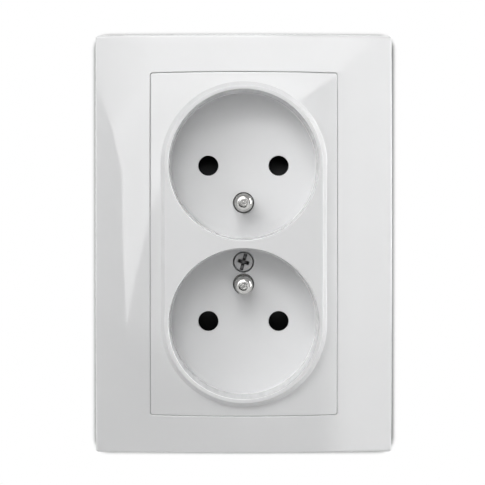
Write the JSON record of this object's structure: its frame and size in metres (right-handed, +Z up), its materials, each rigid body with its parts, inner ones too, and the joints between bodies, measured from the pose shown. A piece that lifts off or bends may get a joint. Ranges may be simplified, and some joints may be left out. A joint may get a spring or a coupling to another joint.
{
  "type": "double wall socket",
  "caption": "Flush double wall socket with earth pins: crowned frame, centre cover with round wells, shuttered contacts on a steel bracket with claws.",
  "frame": {"origin": "centre of the box-screw pattern on the back face of the bracket", "axes": "+X right and +Z up as seen from the front, +Y into the wall"},
  "size_m": [0.0792, 0.038, 0.1116],
  "materials": {
    "frame_plastic": "glossy white",
    "cover_plastic": "glossy white, satin well floors",
    "base_plastic": "matte pale grey",
    "tray_plastic": "matte dark grey",
    "shutter_plastic": "matte black",
    "zinc_steel": "zinc plated",
    "screw_steel": "passivated steel",
    "spring_steel": "bright strip",
    "nickel": "turned, nickel plated",
    "brass": "rolled strip",
    "spring_bronze": "rolled strip"
  },
  "bodies": {
    "socket": {"bracket_rivets": "zinc_steel", "contact_cover": "tray_plastic", "contact_rivets": "brass", "cover_screw": "screw_steel", "earth_bar": "brass", "earth_clamp_plate": "zinc_steel", "earth_terminal_screw": "zinc_steel", "left_claw_pin": "zinc_steel", "line_bus_bar": "brass", "line_clamp_plate": "zinc_steel", "line_terminal_screw": "zinc_steel", "lower_earth_pin": "nickel", "lower_line_clip": "spring_bronze", "lower_neutral_clip": "spring_bronze", "lower_shutter_springs": "spring_steel", "mechanism_base": "base_plastic", "mounting_bracket": "zinc_steel", "neutral_bus_bar": "brass", "neutral_clamp_plate": "zinc_steel", "neutral_terminal_screw": "zinc_steel", "outer_frame": "frame_plastic", "right_claw_pin": "zinc_steel", "socket_cover": "cover_plastic", "upper_earth_pin": "nickel", "upper_line_clip": "spring_bronze", "upper_neutral_clip": "spring_bronze", "upper_shutter_springs": "spring_steel"},
    "upper_shutter": {"upper_shutter": "shutter_plastic"},
    "lower_shutter": {"lower_shutter": "shutter_plastic"},
    "left_claw": {"left_claw": "zinc_steel"},
    "right_claw": {"right_claw": "zinc_steel"},
    "left_claw_screw": {"left_claw_screw": "screw_steel"},
    "right_claw_screw": {"right_claw_screw": "screw_steel"}
  },
  "joints": [
    {"name": "upper_shutter_slide", "type": "slide", "parent": "socket", "child": "upper_shutter", "axis": [0, 0, -1], "range_m": [0, 0.0057], "stiffness_N_per_m": 60, "springref_m": -0.004, "deforming": ["upper_shutter_springs"]},
    {"name": "lower_shutter_slide", "type": "slide", "parent": "socket", "child": "lower_shutter", "axis": [0, 0, 1], "range_m": [0, 0.0057], "stiffness_N_per_m": 60, "springref_m": -0.004, "deforming": ["lower_shutter_springs"]},
    {"name": "left_claw_screw_drive", "type": "slide", "parent": "socket", "child": "left_claw_screw", "axis": [0, 1, 0], "range_m": [0, 0.0021]},
    {"name": "right_claw_screw_drive", "type": "slide", "parent": "socket", "child": "right_claw_screw", "axis": [0, 1, 0], "range_m": [0, 0.0021]},
    {"name": "left_claw_swing", "type": "hinge", "parent": "socket", "child": "left_claw", "pos_m": [-0.0244, 0.0035, 0], "axis": [0, 0, 1], "range_deg": [0, 27]},
    {"name": "right_claw_swing", "type": "hinge", "parent": "socket", "child": "right_claw", "pos_m": [0.0244, 0.0035, 0], "axis": [0, 0, -1], "range_deg": [0, 27]}
  ],
  "couplings": [
    {"joint": "left_claw_swing", "follows": "left_claw_screw_drive", "rad_per_m": 222},
    {"joint": "right_claw_swing", "follows": "right_claw_screw_drive", "rad_per_m": 222}
  ]
}
